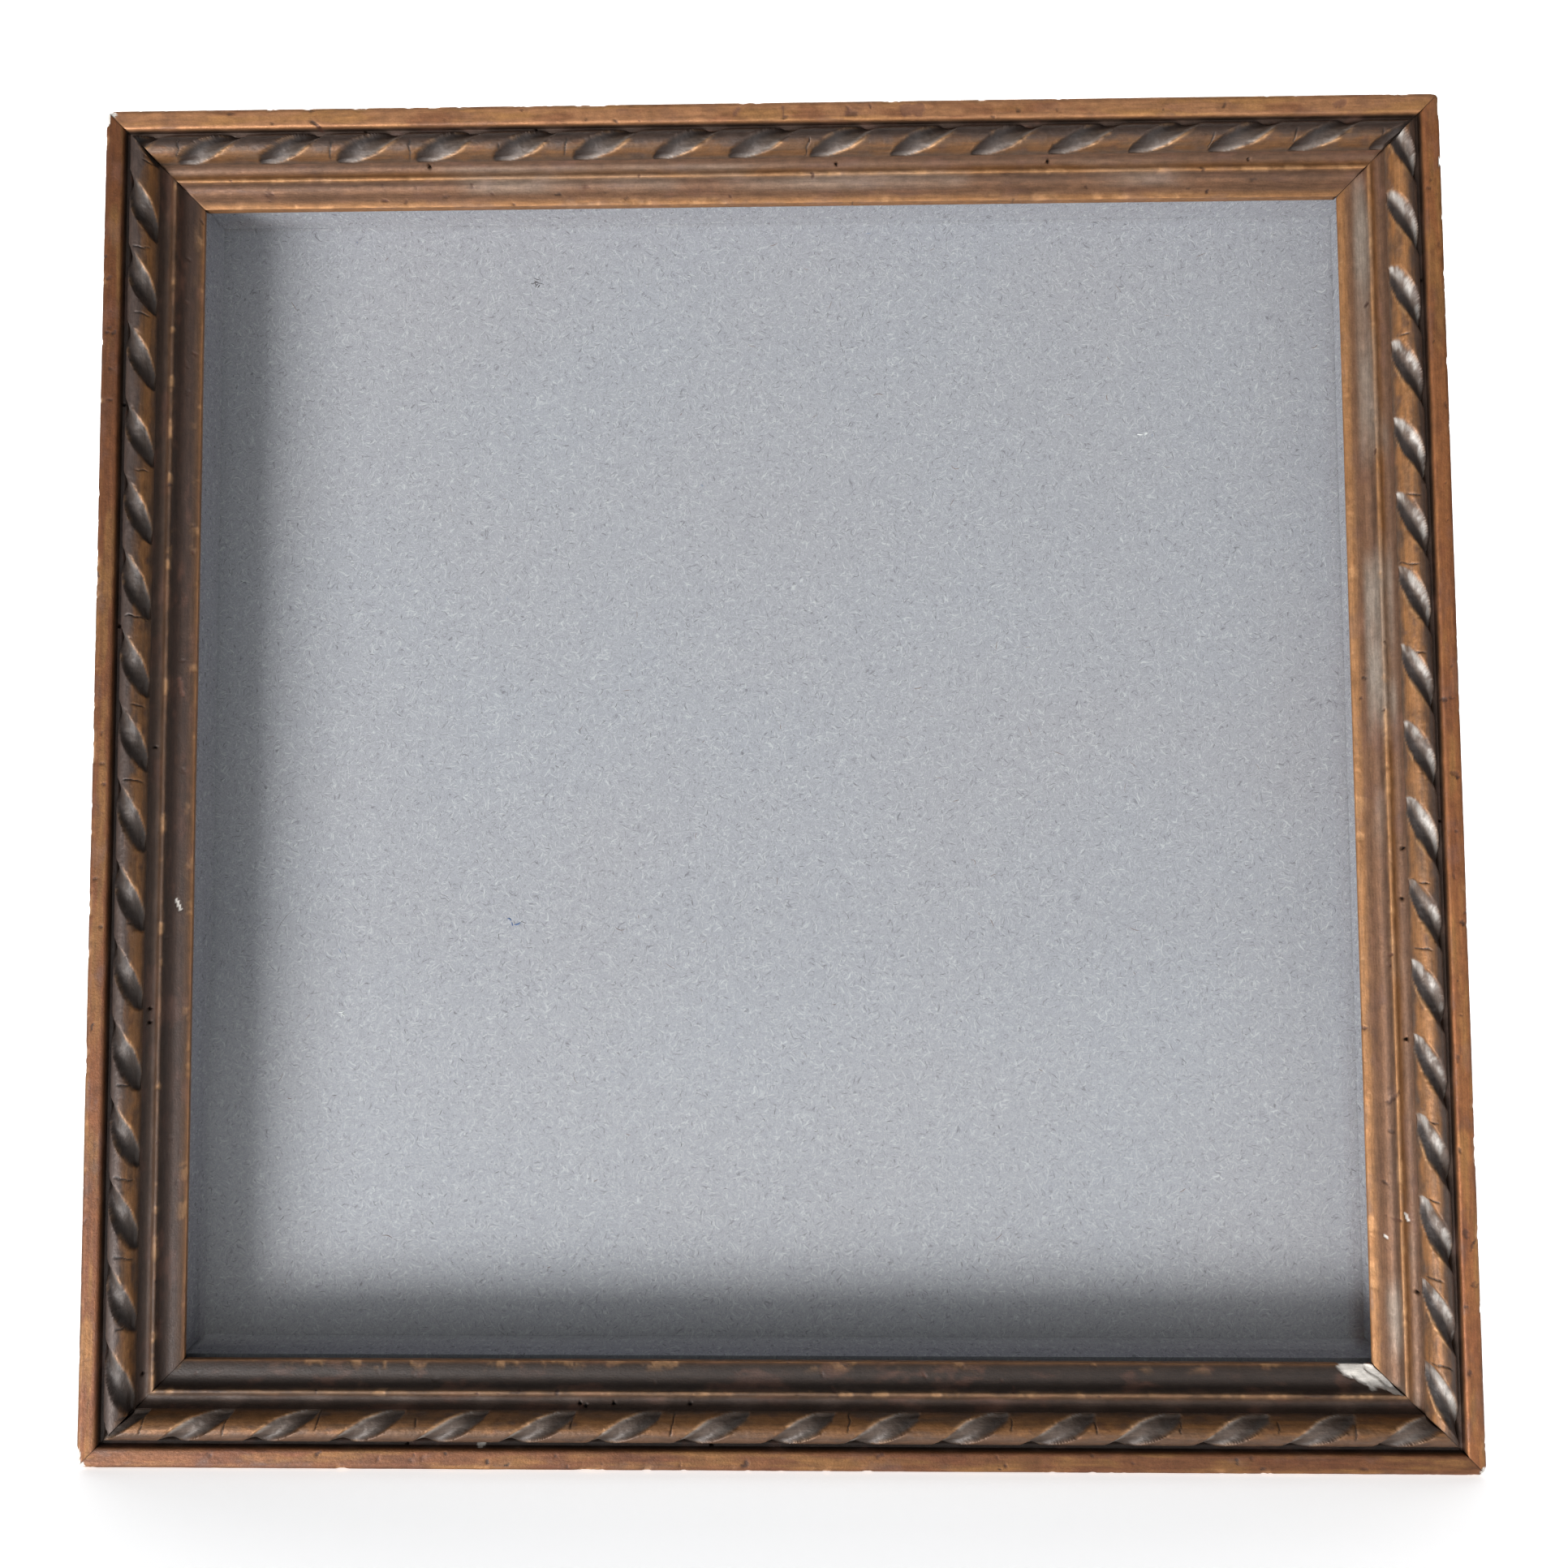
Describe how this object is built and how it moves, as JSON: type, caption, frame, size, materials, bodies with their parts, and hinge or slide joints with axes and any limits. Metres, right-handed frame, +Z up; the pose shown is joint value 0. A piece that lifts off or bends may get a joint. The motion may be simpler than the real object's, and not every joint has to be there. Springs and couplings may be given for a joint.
{
  "type": "shadow box",
  "caption": "Square glazed shadow box: gilt rope-pattern moulding on a deep wooden box, with a display cavity, lift-out back, turn buttons and a hanging ring.",
  "frame": {"origin": "on the flat underside of the bottom batten, centred on the width, 19.5 mm behind the front of the rope and 19.5 mm in front of the battens' back faces", "axes": "+X to the right seen from the front, +Y from the glazed front towards the back, +Z up"},
  "size_m": [0.35, 0.0441, 0.35],
  "materials": {
    "gilt_moulding": "satin bronze gilding over gesso, toned dark in the hollows",
    "gilt_rope": "satin bronze gilding with grey-brown toning in the scoops",
    "bare_wood": "matte",
    "grey_board": "matte",
    "hardboard": "matte",
    "glazing": "gloss",
    "brass": "satin",
    "steel": "satin"
  },
  "bodies": {
    "frame": {"rail_top": "gilt_moulding", "rail_right": "gilt_moulding", "rail_bottom": "gilt_moulding", "rail_left": "gilt_moulding", "rope_top": "gilt_rope", "rope_right": "gilt_rope", "rope_bottom": "gilt_rope", "rope_left": "gilt_rope", "batten_top": "bare_wood", "batten_right": "bare_wood", "batten_bottom": "bare_wood", "batten_left": "bare_wood", "corner_nail_top": "steel", "corner_nail_right": "steel", "corner_nail_bottom": "steel", "corner_nail_left": "steel", "liner_top": "grey_board", "liner_right": "grey_board", "liner_bottom": "grey_board", "liner_left": "grey_board", "glass_pane": "glazing", "button_screw_right_upper": "steel", "button_screw_right_lower": "steel", "button_screw_left_upper": "steel", "button_screw_left_lower": "steel", "hanger_plate": "brass", "hanger_screw_left": "steel", "hanger_screw_right": "steel"},
    "back": {"backing_board": "grey_board", "back_cover": "hardboard"},
    "button_right_upper": {"turn_button_right_upper": "brass"},
    "button_right_lower": {"turn_button_right_lower": "brass"},
    "button_left_upper": {"turn_button_left_upper": "brass"},
    "button_left_lower": {"turn_button_left_lower": "brass"},
    "ring": {"hanger_ring": "brass"}
  },
  "joints": [
    {"name": "back_slide", "type": "slide", "parent": "frame", "child": "back", "axis": [0, 1, 0], "range_m": [0, 0.06]},
    {"name": "button_right_upper_turn", "type": "hinge", "parent": "frame", "child": "button_right_upper", "pos_m": [0.1645, 0.0202, 0.265], "axis": [0, 1, 0], "range_deg": [0, 90]},
    {"name": "button_right_lower_turn", "type": "hinge", "parent": "frame", "child": "button_right_lower", "pos_m": [0.1645, 0.0202, 0.085], "axis": [0, 1, 0], "range_deg": [0, 90]},
    {"name": "button_left_upper_turn", "type": "hinge", "parent": "frame", "child": "button_left_upper", "pos_m": [-0.1645, 0.0202, 0.265], "axis": [0, 1, 0], "range_deg": [0, 90]},
    {"name": "button_left_lower_turn", "type": "hinge", "parent": "frame", "child": "button_left_lower", "pos_m": [-0.1645, 0.0202, 0.085], "axis": [0, 1, 0], "range_deg": [0, 90]},
    {"name": "ring_swing", "type": "hinge", "parent": "frame", "child": "ring", "pos_m": [0, 0.0222, 0.345], "axis": [1, 0, 0], "range_deg": [0, 180]}
  ]
}
